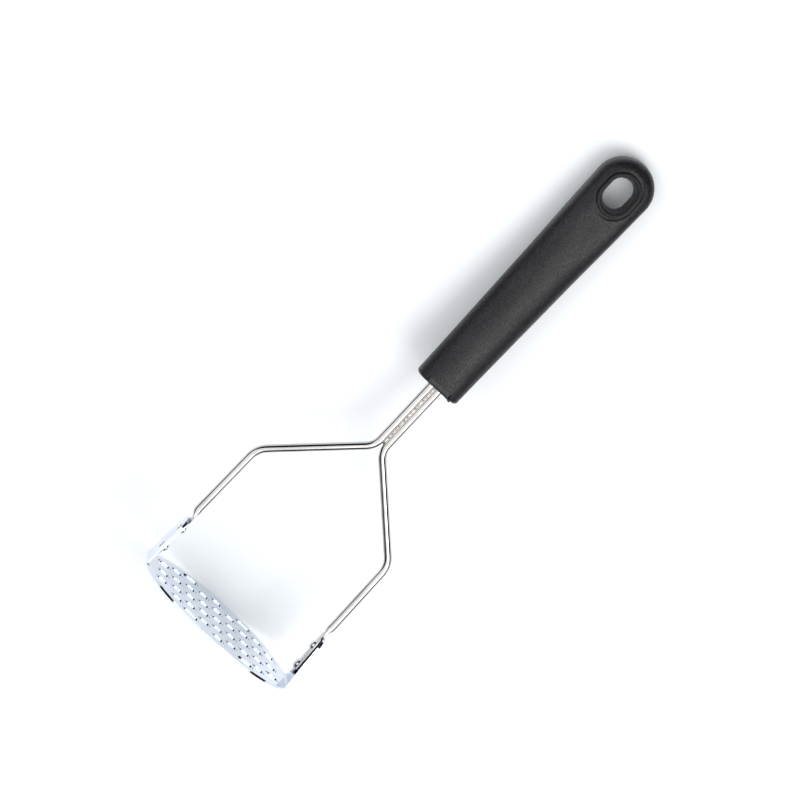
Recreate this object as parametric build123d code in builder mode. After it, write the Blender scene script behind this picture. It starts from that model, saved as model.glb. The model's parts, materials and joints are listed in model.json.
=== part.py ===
"""Potato masher with a round perforated plate, two bent wires and a moulded handle, in millimetres.

The masher lies as it is put down on a table: the rim of its plate and the tip of its handle both touch
z = 0. X runs across the two wires and +Y from the plate towards the handle's tip.

Shapes are drawn in the tool's own axes. The plane `tool` holds the wires and the middle of the handle:
its x runs across the tool, its y along the tool from the mashing face, its z up from the tool.
"""

import os
from math import acos, atan2, cos, degrees, hypot, radians, sin

from build123d import *

os.makedirs("parts", exist_ok=True)

# ---------------------------------------------------------------- driving dimensions
overall_length = 265.0

plate_radius = 41.0
sheet = 1.0
tab_face_x = 40.4          # outer face of a tab, at the mashing face
tab_lean = 2.7             # degrees that a tab leans inwards
tab_height = 26.3
tab_foot_width = 17.6
tab_shoulder_width = 12.6
bend_radius = 1.0          # inside radius where a tab is folded up

hole_radius = 3.3
hole_step = 7.65           # half of the diagonal between neighbouring holes
rim_slot_length = 9.4      # outermost holes are drawn out along the rim

wire_radius = 1.75
wire_gap = 0.44            # between the two wires where they run side by side
split_height = 101.5       # where the wires part
shoulder_height = 67.0     # where they turn down again
shoulder_x = 37.7
neck_x = 38.3
neck_height = 31.5         # where the round wire starts to be flattened
split_bend = 9.0
shoulder_bend = 10.5
tail_length = 62.0         # wire inside the handle

paddle_width = 7.6
paddle_thickness = 1.1
paddle_top = 26.6
paddle_foot = 5.2

rivet_heights = (10.0, 20.7)
rivet_radius = 1.5
inner_head_radius = 2.4
inner_head_height = 1.3
outer_head_radius = 2.3
outer_head_height = 0.45

weld_spans = ((107.5, 5.0), (118.0, 6.0), (129.5, 5.0))   # middle and length of each bead
weld_width = 2.6
weld_height = 0.95

handle_length = 128.0
mouth_width = 21.8
tip_radius = 13.2
handle_half = 7.5          # half the handle's thickness
rim_rounding = 6.4
mouth_rounding = 1.5

core_length = 98.0
core_width = 12.4
core_half = 4.8
collar_half = 6.9          # the core stands nearly flush in a notch at the handle's mouth
collar_length = 2.6

eyelet_from_tip = 16.2
flange_width = 16.4
flange_length = 22.7
flange_thickness = 1.2
flange_groove = 0.35
sleeve_wall = 1.2
mouth_hole = (12.7, 16.8)
waist_hole = (10.2, 13.2)

# ---------------------------------------------------------------- how the masher lies
# The handle's underside near its tip is rounded with rim_rounding, so it touches the table where
# that rounding is lowest: reach * sin(lean) + rim_rounding = drop * cos(lean).
drop = plate_radius - handle_half + rim_rounding
reach = overall_length - rim_rounding - sheet
lean = acos(rim_rounding / hypot(drop, reach)) - atan2(reach, drop)
print(f"tool leans {degrees(lean):.4f} degrees")

tool_z = plate_radius * cos(lean) + sheet * sin(lean)
tip_reach = (overall_length - rim_rounding) * cos(lean) + (handle_half - rim_rounding) * sin(lean) + rim_rounding
tool_y = (plate_radius * sin(lean) - tip_reach) / 2

across_axis = Vector(1, 0, 0)
along_axis = Vector(0, cos(lean), -sin(lean))
up_axis = Vector(0, sin(lean), cos(lean))
tool = Plane(origin=(0, tool_y, tool_z), x_dir=across_axis, z_dir=up_axis)


def at(across, along, up=0.0):
    """Point given in the tool's own axes."""
    return tool.from_local_coords(Vector(across, along, up))


def square_to_tool(along):
    """Plane square to the tool's length, its normal towards the handle's tip."""
    return Plane(origin=at(0, along), x_dir=-across_axis, z_dir=along_axis)


def tab_plane(side, depth):
    """Plane parallel to a tab, depth inside its outer face: y up the tab, normal inwards."""
    inwards = across_axis * (-side * cos(radians(tab_lean))) - along_axis * sin(radians(tab_lean))
    foot = Vector(at(side * tab_face_x, 0)) + inwards * depth
    return Plane(origin=foot, x_dir=up_axis * side, z_dir=inwards)


def export(solid, name):
    """Label a finished piece and write its STEP file."""
    solid.label = name
    export_step(solid, f"parts/{name}.step")


sides = {"left": -1, "right": 1}
handle_mouth = overall_length - handle_length
tail_x = wire_radius + wire_gap / 2
eyelet_place = overall_length - eyelet_from_tip

# ---------------------------------------------------------------- mashing plate with its two tabs
disc_edge = tab_face_x - sheet - bend_radius
lattice = [
    (m * hole_step, n * hole_step)
    for m in range(-4, 5)
    for n in range(-4, 5)
    if (m + n) % 2 == 0 and m * m + n * n <= 20
]
rim_distance = hypot(2, 4) * hole_step
round_places = [place for place in lattice if hypot(*place) < rim_distance - 0.1]
slot_places = [place for place in lattice if hypot(*place) > rim_distance - 0.1]
tab_shoulder = tab_height - tab_shoulder_width / 2

with BuildPart() as mashing_plate:
    with BuildSketch(square_to_tool(0)):
        Circle(plate_radius)
        Rectangle(2 * disc_edge, 2 * plate_radius, mode=Mode.INTERSECT)
        with Locations(*round_places):
            Circle(hole_radius, mode=Mode.SUBTRACT)
        for x, y in slot_places:
            with Locations(Location((x, y), degrees(atan2(y, x)) + 90)):
                SlotOverall(rim_slot_length, 2 * hole_radius, mode=Mode.SUBTRACT)
    extrude(amount=sheet)
    for side in sides.values():
        outer, inner = tab_plane(side, 0), tab_plane(side, sheet)
        with BuildSketch(outer):
            with BuildLine():
                Polyline(
                    (-tab_foot_width / 2, bend_radius + sheet),
                    (-tab_shoulder_width / 2, tab_shoulder),
                )
                RadiusArc((-tab_shoulder_width / 2, tab_shoulder), (0, tab_height), tab_shoulder_width / 2)
                RadiusArc((0, tab_height), (tab_shoulder_width / 2, tab_shoulder), tab_shoulder_width / 2)
                Polyline(
                    (tab_shoulder_width / 2, tab_shoulder),
                    (tab_foot_width / 2, bend_radius + sheet),
                    (-tab_foot_width / 2, bend_radius + sheet),
                )
            make_face()
            with Locations(*[(0, height) for height in rivet_heights]):
                Circle(rivet_radius, mode=Mode.SUBTRACT)
        extrude(amount=sheet)
        with BuildSketch(tool) as fold:
            centre = (side * disc_edge, sheet + bend_radius)
            with BuildLine():
                sweep_angle = 90 + tab_lean
                start = -90 if side > 0 else -90 - sweep_angle
                CenterArc(centre, bend_radius + sheet, start, sweep_angle)
                CenterArc(centre, bend_radius, start, sweep_angle)
                for angle in (start, start + sweep_angle):
                    ray = Vector(cos(radians(angle)), sin(radians(angle)))
                    Line(Vector(*centre) + ray * bend_radius, Vector(*centre) + ray * (bend_radius + sheet))
            make_face()
        extrude(amount=tab_foot_width / 2, both=True)
export(mashing_plate.part, "mashing_plate")

# ---------------------------------------------------------------- the two wires
for name, side in sides.items():
    with BuildPart() as wire:
        with BuildLine(tool) as route:
            FilletPolyline(
                (side * tail_x, handle_mouth + tail_length),
                (side * tail_x, split_height),
                (side * shoulder_x, shoulder_height),
                (side * neck_x, neck_height),
                radius=[split_bend, shoulder_bend],
            )
        with BuildSketch(Plane(origin=route.line @ 0, z_dir=route.line % 0)):
            Circle(wire_radius)
        sweep(path=route.line)
        # The flattened end is riveted to the tab's inner face; a neck joins it to the round wire.
        with BuildSketch(tab_plane(side, sheet)):
            with BuildLine():
                half = paddle_width / 2
                Polyline(
                    (-half, paddle_foot + half), (-half, paddle_top), (half, paddle_top), (half, paddle_foot + half)
                )
                RadiusArc((half, paddle_foot + half), (0, paddle_foot), half)
                RadiusArc((0, paddle_foot), (-half, paddle_foot + half), half)
            make_face()
            with Locations(*[(0, height) for height in rivet_heights]):
                Circle(rivet_radius, mode=Mode.SUBTRACT)
        extrude(amount=paddle_thickness)
        paddle_middle = tab_plane(side, sheet + paddle_thickness / 2)
        neck_foot = paddle_middle.from_local_coords(Vector(0, paddle_top, 0))
        with BuildSketch(Plane(origin=neck_foot, x_dir=up_axis, z_dir=-paddle_middle.y_dir)):
            Rectangle(paddle_width, paddle_thickness)
        with BuildSketch(Plane(origin=route.line @ 1, x_dir=up_axis, z_dir=route.line % 1)):
            Circle(wire_radius)
        loft()
    export(wire.part, f"{name}_wire")

# ---------------------------------------------------------------- rivets through tab and flattened wire
grip_depth = sheet + paddle_thickness
inner_top = grip_depth + inner_head_height
outer_head_flat = 0.7 * outer_head_radius
for name, side in sides.items():
    with BuildPart() as rivets:
        for height in rivet_heights:
            face = tab_plane(side, 0)
            middle = face.from_local_coords(Vector(0, height, 0))
            profile = Plane(origin=middle, x_dir=face.y_dir, z_dir=face.x_dir)
            with BuildSketch(profile):
                with BuildLine():
                    Polyline(
                        (0, -outer_head_height), (outer_head_flat, -outer_head_height), (outer_head_radius, 0),
                        (rivet_radius, 0), (rivet_radius, grip_depth), (inner_head_radius, grip_depth),
                    )
                    TangentArc((0, inner_top), (inner_head_radius, grip_depth), tangent=(1, 0))
                    Line((0, inner_top), (0, -outer_head_height))
                make_face()
            revolve(axis=Axis(profile.origin, face.z_dir))
    export(rivets.part, f"{name}_rivets")

# ---------------------------------------------------------------- weld beads between the wires
with BuildPart() as wire_welds:
    for middle, length in weld_spans:
        with BuildSketch(Plane(origin=at(0, middle), x_dir=across_axis, z_dir=up_axis)):
            SlotOverall(length, weld_width, rotation=90)
        extrude(amount=weld_height, both=True)
    for side in sides.values():
        with BuildSketch(square_to_tool(split_height)):
            with Locations((side * tail_x, 0)):
                Circle(wire_radius)
        extrude(amount=handle_mouth - split_height, mode=Mode.SUBTRACT)
export(wire_welds.part, "wire_welds")

# ---------------------------------------------------------------- handle core, moulded round the wires
with BuildPart() as handle_core:
    with BuildSketch(square_to_tool(handle_mouth)):
        RectangleRounded(core_width, 2 * core_half, 2.5)
    extrude(amount=core_length)
    chamfer(handle_core.faces().sort_by(Axis(at(0, 0), along_axis))[-1].edges(), 1.2)
    with BuildSketch(square_to_tool(handle_mouth)):
        Rectangle(core_width, 2 * collar_half)
    extrude(amount=collar_length)
    mouth_edges = handle_core.faces().sort_by(Axis(at(0, 0), along_axis))[0].edges()
    fillet(mouth_edges.filter_by(Axis(at(0, 0), across_axis)), mouth_rounding)
    for side in sides.values():
        with BuildSketch(square_to_tool(handle_mouth)):
            with Locations((side * tail_x, 0)):
                Circle(wire_radius)
        extrude(amount=tail_length, mode=Mode.SUBTRACT)
export(handle_core.part, "handle_core")

# ---------------------------------------------------------------- eyelet that lines the hanging hole
sleeve_width = mouth_hole[0] + 2 * sleeve_wall
sleeve_length = mouth_hole[1] + 2 * sleeve_wall
eyelet_centre = at(0, eyelet_place)


def eyelet_plane(up):
    """Plane square to the hanging hole, up from the middle of the handle."""
    return Plane(origin=eyelet_centre + up_axis * up, x_dir=along_axis, z_dir=up_axis)


with BuildPart() as hanging_eyelet:
    with BuildSketch(eyelet_plane(0)):
        SlotOverall(sleeve_length, sleeve_width)
    extrude(amount=handle_half - flange_thickness, both=True)
    for direction in (1, -1):
        with BuildSketch(eyelet_plane(direction * (handle_half - flange_thickness))):
            SlotOverall(flange_length, flange_width)
        extrude(amount=direction * flange_thickness)
    rims = hanging_eyelet.faces().filter_by(Axis(eyelet_centre, up_axis)).sort_by(Axis(eyelet_centre, up_axis))
    fillet(rims[0].edges() + rims[-1].edges(), flange_thickness * 0.7)
    for direction in (1, -1):
        with BuildSketch(eyelet_plane(0)):
            SlotOverall(waist_hole[1], waist_hole[0])
        with BuildSketch(eyelet_plane(direction * handle_half)):
            SlotOverall(mouth_hole[1], mouth_hole[0])
        loft(mode=Mode.SUBTRACT)
export(hanging_eyelet.part, "hanging_eyelet")

# ---------------------------------------------------------------- outer grip
with BuildPart() as handle_grip:
    with BuildSketch(tool):
        with BuildLine():
            Line((-mouth_width / 2, handle_mouth), (mouth_width / 2, handle_mouth))
            CenterArc((0, overall_length - tip_radius), tip_radius, 0, 180)
        make_hull()
    extrude(amount=handle_half, both=True)
    flats = handle_grip.faces().filter_by(Axis(at(0, 0), up_axis))
    mouth_face = handle_grip.faces().sort_by(Axis(at(0, 0), along_axis))[0]
    long_rims = [edge for edge in flats.edges() if edge not in mouth_face.edges()]
    fillet(long_rims, rim_rounding)
    fillet(handle_grip.faces().sort_by(Axis(at(0, 0), along_axis))[0].edges(), mouth_rounding)
    # notch at the mouth where the core's collar shows, and the cavity that holds the core
    with BuildSketch(square_to_tool(handle_mouth)):
        Rectangle(core_width, 2 * handle_half)
    extrude(amount=collar_length, mode=Mode.SUBTRACT)
    with BuildSketch(square_to_tool(handle_mouth)):
        RectangleRounded(core_width, 2 * core_half, 2.5)
    extrude(amount=core_length, mode=Mode.SUBTRACT)
    # pocket for the eyelet, with a narrow groove round each flange
    with BuildSketch(eyelet_plane(0)):
        SlotOverall(sleeve_length, sleeve_width)
    extrude(amount=2 * handle_half, both=True, mode=Mode.SUBTRACT)
    for direction in (1, -1):
        with BuildSketch(eyelet_plane(direction * (handle_half - flange_thickness))):
            SlotOverall(flange_length + 2 * flange_groove, flange_width + 2 * flange_groove)
        extrude(amount=direction * flange_thickness, mode=Mode.SUBTRACT)
export(handle_grip.part, "handle_grip")
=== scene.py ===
"""Looks of a wire potato masher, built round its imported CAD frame.

Every piece is drawn in the tool's own axes (x across the tool, y along it from the mashing face towards
the handle's tip, z up from the tool) and then laid down where the frame has it. Sizes are in millimetres
in the class fields and in metres in the meshes.
"""

import json
import logging
from collections.abc import Iterable, Sequence
from dataclasses import dataclass
from enum import Enum
from math import asin, cos, degrees, isfinite, pi, radians, sin, sqrt
from typing import Any

import bmesh
import bpy
from mathutils import Matrix, Vector


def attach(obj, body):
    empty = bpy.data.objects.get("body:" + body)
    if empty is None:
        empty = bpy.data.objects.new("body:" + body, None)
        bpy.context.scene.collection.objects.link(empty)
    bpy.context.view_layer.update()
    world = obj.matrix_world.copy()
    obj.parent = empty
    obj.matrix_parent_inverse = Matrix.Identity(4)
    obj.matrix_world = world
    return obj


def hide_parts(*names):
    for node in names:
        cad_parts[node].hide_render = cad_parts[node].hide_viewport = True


LOG = logging.getLogger("masher")
MM = 0.001

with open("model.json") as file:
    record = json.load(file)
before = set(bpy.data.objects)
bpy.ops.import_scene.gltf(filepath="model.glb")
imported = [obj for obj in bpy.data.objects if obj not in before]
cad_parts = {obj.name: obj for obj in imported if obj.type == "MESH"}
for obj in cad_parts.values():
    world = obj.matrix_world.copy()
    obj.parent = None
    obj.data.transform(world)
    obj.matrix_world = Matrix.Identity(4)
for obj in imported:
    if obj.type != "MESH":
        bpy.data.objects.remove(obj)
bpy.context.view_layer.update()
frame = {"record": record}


class Side(Enum):
    """The two mirrored halves of the masher; the value is the sign of x."""

    LEFT = -1
    RIGHT = 1

    @property
    def word(self) -> str:
        """The side's name, as used in node names."""
        return self.name.lower()


# ------------------------------------------------------------------ the tool's axes


@dataclass(frozen=True)
class ToolAxes:
    """Where the tool lies in the row frame.

    Args:
        origin: middle of the mashing face.
        along: unit vector from the mashing face towards the handle's tip.
        up: unit vector up from the tool.
    """

    origin: Vector
    along: Vector
    up: Vector

    @classmethod
    def from_record(cls, record: dict[str, Any]) -> "ToolAxes":
        """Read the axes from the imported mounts.

        Args:
            record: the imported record.

        Returns:
            The tool's axes.
        """
        mounts = {mount["name"]: mount for mount in record["mounts"]}
        face, hole = mounts["mashing_face"], mounts["hanging_hole"]
        _, y, z = face["pos_m"]
        along = -Vector(face["axis"]).normalized()
        return cls(Vector((0, y, z)), along, Vector(hole["axis"]).normalized())

    @property
    def matrix(self) -> Matrix:
        """Turns the tool's own coordinates into the row frame."""
        across = self.along.cross(self.up)
        turn = Matrix((across, self.along, self.up)).transposed().to_4x4()
        return Matrix.Translation(self.origin) @ turn

    @property
    def lean(self) -> float:
        """How far the tool leans down towards its tip, in radians."""
        return asin(-self.along.z)


TOOL = ToolAxes.from_record(frame["record"])


# ------------------------------------------------------------------ node trees


class Signal:
    """An output socket that takes part in Python arithmetic by adding Math nodes."""

    def __init__(self, bench: "NodeBench", socket: bpy.types.NodeSocket) -> None:
        """Wrap a socket of a tree."""
        self.bench = bench
        self.socket = socket

    def maths(self, operation: str, *others: "Signal | float") -> "Signal":
        """Add a Math node whose first input is this signal.

        Args:
            operation: the node's operation.
            others: its other inputs, in order.

        Returns:
            The node's value.
        """
        return self.bench.node("ShaderNodeMath", {"operation": operation}, dict(enumerate((self, *others))))

    def __add__(self, other: "Signal | float") -> "Signal":
        """Sum."""
        return self.maths("ADD", other)

    def __sub__(self, other: "Signal | float") -> "Signal":
        """Difference."""
        return self.maths("SUBTRACT", other)

    def __rsub__(self, other: float) -> "Signal":
        """Difference with a number on the left."""
        return self.bench.node("ShaderNodeMath", {"operation": "SUBTRACT"}, {0: other, 1: self})

    def __mul__(self, other: "Signal | float") -> "Signal":
        """Product."""
        return self.maths("MULTIPLY", other)

    def __truediv__(self, other: "Signal | float") -> "Signal":
        """Quotient."""
        return self.maths("DIVIDE", other)

    def __pow__(self, other: "Signal | float") -> "Signal":
        """Power."""
        return self.maths("POWER", other)

    def __gt__(self, other: "Signal | float") -> "Signal":
        """1 where this is larger."""
        return self.maths("GREATER_THAN", other)

    def __mod__(self, other: float) -> "Signal":
        """Remainder."""
        return self.maths("MODULO", other)

    __radd__ = __add__
    __rmul__ = __mul__

    def ramp(self, low: float, high: float, at_low: float = 0.0, at_high: float = 1.0) -> "Signal":
        """Smooth step between two values.

        Args:
            low: value where the step starts.
            high: value where it ends.
            at_low: result at and below low.
            at_high: result at and above high.

        Returns:
            The stepped value.
        """
        return self.bench.node(
            "ShaderNodeMapRange",
            {"interpolation_type": "SMOOTHSTEP"},
            {"Value": self, "From Min": low, "From Max": high, "To Min": at_low, "To Max": at_high},
        )


class NodeBench:
    """Adds nodes to one tree through a single method."""

    def __init__(self, tree: bpy.types.NodeTree) -> None:
        """Work on a tree."""
        self.tree = tree

    def node(
        self,
        kind: str,
        settings: dict[str, Any] | None = None,
        inputs: dict[str | int, Any] | None = None,
        output: str | int = 0,
    ) -> Signal:
        """Add a node.

        Args:
            kind: the node's type.
            settings: its own settings.
            inputs: values or signals for its sockets, by name or number; a list links several signals.
            output: name or number of the socket to return.

        Returns:
            The chosen output.
        """
        made = self.tree.nodes.new(kind)
        for key, value in (settings or {}).items():
            setattr(made, key, value)
        for key, value in (inputs or {}).items():
            socket = made.inputs[key]
            for each in value if isinstance(value, list) else [value]:
                if isinstance(each, Signal):
                    self.tree.links.new(each.socket, socket)
                else:
                    socket.default_value = each
        if len(made.outputs) == 0:
            return Signal(self, None)
        return Signal(self, made.outputs[output])

    def noise(self, place: Signal, scale: float, detail: float, roughness: float = 0.5) -> Signal:
        """A noise value around one half.

        Args:
            place: coordinates.
            scale: waves to the metre.
            detail: octaves.
            roughness: share of the finer octaves.

        Returns:
            The noise.
        """
        sockets = {"Vector": place, "Scale": scale, "Detail": detail, "Roughness": roughness}
        return self.node("ShaderNodeTexNoise", None, sockets)

    def sibling(self, signal: Signal, output: str | int) -> Signal:
        """Another output of the node that a signal comes from."""
        return Signal(self, signal.socket.node.outputs[output])


class GeometryTree(NodeBench):
    """A Geometry Nodes tree with named inputs, applied to an object and then taken off it."""

    SOCKETS = {float: "NodeSocketFloat", int: "NodeSocketInt", Vector: "NodeSocketVector"}

    def __init__(
        self, name: str, sizes: dict[str, float | int | Vector], material: bpy.types.Material
    ) -> None:
        """Start a tree.

        Args:
            name: the tree's name.
            sizes: named inputs and their values.
            material: what the finished mesh is made of.
        """
        tree = bpy.data.node_groups.new(name, "GeometryNodeTree")
        super().__init__(tree)
        self.sizes = sizes
        self.material = material
        tree.interface.new_socket("Geometry", in_out="INPUT", socket_type="NodeSocketGeometry")
        tree.interface.new_socket("Geometry", in_out="OUTPUT", socket_type="NodeSocketGeometry")
        for key, value in sizes.items():
            tree.interface.new_socket(key, in_out="INPUT", socket_type=self.SOCKETS[type(value)])
        tree.interface.new_socket("Material", in_out="INPUT", socket_type="NodeSocketMaterial")
        self.group_input = tree.nodes.new("NodeGroupInput")

    def given(self, name: str) -> Signal:
        """One of the tree's named inputs."""
        return Signal(self, self.group_input.outputs[name])

    def position(self) -> Signal:
        """Where each point is."""
        return self.node("GeometryNodeInputPosition")

    def stored(self, name: str, kind: str = "FLOAT") -> Signal:
        """A value that was stored on the points under a name."""
        return self.node("GeometryNodeInputNamedAttribute", {"data_type": kind}, {"Name": name})

    def with_stored(self, geometry: Signal, name: str, value: Signal, kind: str = "FLOAT") -> Signal:
        """Store a value on the points under a name.

        Args:
            geometry: what has the points.
            name: the name.
            value: the value.
            kind: the value's type.

        Returns:
            The geometry with the value.
        """
        return self.node(
            "GeometryNodeStoreNamedAttribute",
            {"data_type": kind, "domain": "POINT"},
            {"Geometry": geometry, "Name": name, "Value": value},
        )

    def curve(self) -> Signal:
        """The tree's base as a curve."""
        return self.node("GeometryNodeMeshToCurve", None, {0: self.given("Geometry")})

    def instances(self, points: Signal, shape: Signal, **how: Signal) -> Signal:
        """Set a shape on every point; how names further inputs, such as Scale."""
        sockets = {"Points": points, "Instance": shape, **how}
        return self.node("GeometryNodeInstanceOnPoints", None, sockets)

    def moved(self, geometry: Signal, **how: Signal) -> Signal:
        """Move a geometry's points by an Offset or to a Position."""
        return self.node("GeometryNodeSetPosition", None, {"Geometry": geometry, **how})

    def circle(self, radius: Signal, points: int) -> Signal:
        """A circle with a number of points."""
        return self.node("GeometryNodeCurvePrimitiveCircle", None, {"Resolution": points, "Radius": radius})

    def drawn(self, low: Any, high: Any, kind: str = "FLOAT") -> Signal:
        """A random value for each point, between two values, from the tree's seed."""
        sockets = {"Min": low, "Max": high, "Seed": self.given("Seed")}
        return self.node("FunctionNodeRandomValue", {"data_type": kind}, sockets, "Value")

    def crumpled(self, geometry: Signal, waves: float, detail: float, depth: float) -> Signal:
        """Push points in and out along their normals by a noise.

        Args:
            geometry: what is crumpled.
            waves: the noise's waves to the metre.
            detail: its octaves.
            depth: distance from its lowest to its highest push, in metres.

        Returns:
            The crumpled geometry.
        """
        shift = (self.noise(self.position(), waves, detail) - 0.5) * depth
        push = self.vector(shift, shift, shift)
        normal = self.node("GeometryNodeInputNormal")
        return self.moved(geometry, Offset=self.vector_maths("MULTIPLY", normal, push))

    def joined(self, *parts: Signal) -> Signal:
        """Several geometries as one."""
        return self.node("GeometryNodeJoinGeometry", None, {0: list(parts)})

    def realized(self, geometry: Signal) -> Signal:
        """Instances turned into real geometry."""
        return self.node("GeometryNodeRealizeInstances", None, {0: geometry})

    def vector(self, x: Signal | float, y: Signal | float, z: Signal | float) -> Signal:
        """A vector from three values."""
        return self.node("ShaderNodeCombineXYZ", None, {0: x, 1: y, 2: z})

    def parts(self, vector: Signal) -> tuple[Signal, Signal, Signal]:
        """The three values of a vector."""
        x = self.node("ShaderNodeSeparateXYZ", None, {0: vector})
        return x, self.sibling(x, 1), self.sibling(x, 2)

    def vector_maths(self, operation: str, *values: Signal | Vector, output: int = 0) -> Signal:
        """Add a Vector Math node.

        Args:
            operation: the node's operation.
            values: its inputs, in order.
            output: which output to return.

        Returns:
            The chosen output.
        """
        return self.node("ShaderNodeVectorMath", {"operation": operation}, dict(enumerate(values)), output)

    def finish(self, geometry: Signal) -> None:
        """End the tree in Realize Instances and Set Material."""
        sockets = {"Geometry": self.realized(geometry), "Material": self.given("Material")}
        self.node("NodeGroupOutput", None, {0: self.node("GeometryNodeSetMaterial", None, sockets)})

    def make(self, name: str, base: bpy.types.Mesh) -> bpy.types.Mesh:
        """Run the tree on a base and keep the result.

        Args:
            name: name of the resulting mesh.
            base: mesh that the tree starts from.

        Returns:
            A plain mesh in the tool's own axes.
        """
        holder = placed(f"{name}.holder", base)
        modifier = holder.modifiers.new(self.tree.name, "NODES")
        modifier.node_group = self.tree
        for item in self.tree.interface.items_tree:
            if item.in_out == "INPUT" and item.name in self.sizes:
                modifier[item.identifier] = self.sizes[item.name]
            elif item.in_out == "INPUT" and item.name == "Material":
                modifier[item.identifier] = self.material
        mesh = evaluated_mesh(holder, name)
        bpy.data.objects.remove(holder)
        return mesh


def placed(name: str, data: bpy.types.ID) -> bpy.types.Object:
    """A new object in the scene.

    Args:
        name: its name.
        data: its mesh, camera or light.

    Returns:
        The object.
    """
    thing = bpy.data.objects.new(name, data)
    bpy.context.scene.collection.objects.link(thing)
    return thing


def evaluated_mesh(holder: bpy.types.Object, name: str) -> bpy.types.Mesh:
    """Mesh of an object with its modifiers applied.

    Args:
        holder: the object, in the scene.
        name: name of the new mesh.

    Returns:
        A new mesh with no modifiers.
    """
    graph = bpy.context.evaluated_depsgraph_get()
    graph.update()
    mesh = bpy.data.meshes.new_from_object(holder.evaluated_get(graph), depsgraph=graph)
    mesh.name = name
    return mesh


def outline_mesh(
    name: str, points: Iterable[Sequence[float]], closed: bool = False, bends: Sequence[float] = ()
) -> bpy.types.Mesh:
    """A chain of edges for a tree to start from.

    Args:
        name: the mesh's name.
        points: places of the chain's points, in metres.
        closed: whether the last point joins the first.
        bends: bend radius at each point, if it has bends, in metres.

    Returns:
        The chain, with its bend radii in an attribute.
    """
    places = [tuple(point) for point in points]
    edges = [(i, i + 1) for i in range(len(places) - 1)]
    if closed:
        edges.append((len(places) - 1, 0))
    mesh = bpy.data.meshes.new(name)
    mesh.from_pydata(places, edges, [])
    if bends:
        mesh.attributes.new("bend", "FLOAT", "POINT").data.foreach_set("value", list(bends))
    return mesh


# ------------------------------------------------------------------ finishes


class Grain(Enum):
    """How far a finish's pattern is drawn out across, along and up the tool."""

    EVEN = (1.0, 1.0, 1.0)
    ACROSS = (0.06, 1.0, 1.0)
    ALONG = (1.0, 0.05, 1.0)
    FLOW = (1.0, 0.35, 1.0)


class Finish:
    """A material made of nodes; each kind of finish fills in its surface."""

    name: str

    def material(self) -> bpy.types.Material:
        """The finish's material, made once."""
        title = f"{self.name}_finish"
        ready = bpy.data.materials.get(title)
        if ready:
            return ready
        made = bpy.data.materials.new(title)
        made.use_nodes = True
        made.node_tree.nodes.clear()
        bench = NodeBench(made.node_tree)
        bench.node("ShaderNodeOutputMaterial", None, {"Surface": self.surface(bench)})
        return made

    def surface(self, bench: NodeBench) -> Signal:
        """The finish's shader."""
        raise NotImplementedError

    @staticmethod
    def place(bench: NodeBench, scale: Sequence[float] = (1.0, 1.0, 1.0)) -> Signal:
        """Object coordinates turned to the tool's own axes.

        Args:
            bench: the material's nodes.
            scale: how far the pattern is drawn out on each axis.

        Returns:
            The coordinates, in metres before scaling.
        """
        spot = bench.node("ShaderNodeTexCoord", None, None, "Object")
        for name, value in (("Rotation", (TOOL.lean, 0, 0)), ("Scale", tuple(scale))):
            spot = bench.node("ShaderNodeMapping", {"vector_type": "POINT"}, {0: spot, name: value})
        return spot

    @staticmethod
    def blend(bench: NodeBench, share: Signal, low: Sequence[float], high: Sequence[float]) -> Signal:
        """Mix two colours by a share."""
        colours = {6: (*low, 1.0), 7: (*high, 1.0)}
        return bench.node("ShaderNodeMix", {"data_type": "RGBA"}, {0: share, **colours}, 2)

    @staticmethod
    def bump(bench: NodeBench, height: Signal, relief: float, strength: float, **under: Signal) -> Signal:
        """Relief on the surface.

        Args:
            bench: the material's nodes.
            height: the pattern.
            relief: its height, in millimetres.
            strength: share of it that shows.
            under: Normal, if there is relief below it already.

        Returns:
            The normal.
        """
        sockets = {"Height": height, "Distance": relief * MM, "Strength": strength, **under}
        return bench.node("ShaderNodeBump", None, sockets)


@dataclass(frozen=True)
class Steel(Finish):
    """Bare steel.

    Args:
        name: the material's name.
        light: colour where the surface is brightest.
        dull: colour of its duller patches.
        gloss: lowest and highest roughness.
        grain: direction of its fine lines.
        grain_scale: lines to the metre.
        relief: height of its fine lines, in millimetres.
    """

    name: str
    light: tuple[float, float, float]
    dull: tuple[float, float, float]
    gloss: tuple[float, float]
    grain: Grain
    grain_scale: float
    relief: float = 0.004

    def surface(self, bench: NodeBench) -> Signal:
        """Polished metal with fine lines, faint patches and slight waviness."""
        place = self.place(bench)
        patches = bench.noise(place, 45.0, 3.0, 0.55).ramp(0.35, 0.68)
        lines = bench.noise(self.place(bench, self.grain.value), self.grain_scale, 3.0, 0.6)
        waves = bench.noise(place, 60.0, 1.0, 0.55)
        wave_height = 0.05
        low, high = self.gloss
        fine = self.bump(bench, lines, self.relief, 0.6)
        sockets = {
            "Base Color": self.blend(bench, patches, self.light, self.dull),
            "Metallic": 1.0,
            "Roughness": low + (high - low) * (0.55 * lines + 0.45 * patches),
            "Normal": self.bump(bench, waves, wave_height, 0.5, Normal=fine),
        }
        return bench.node("ShaderNodeBsdfPrincipled", None, sockets)


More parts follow.
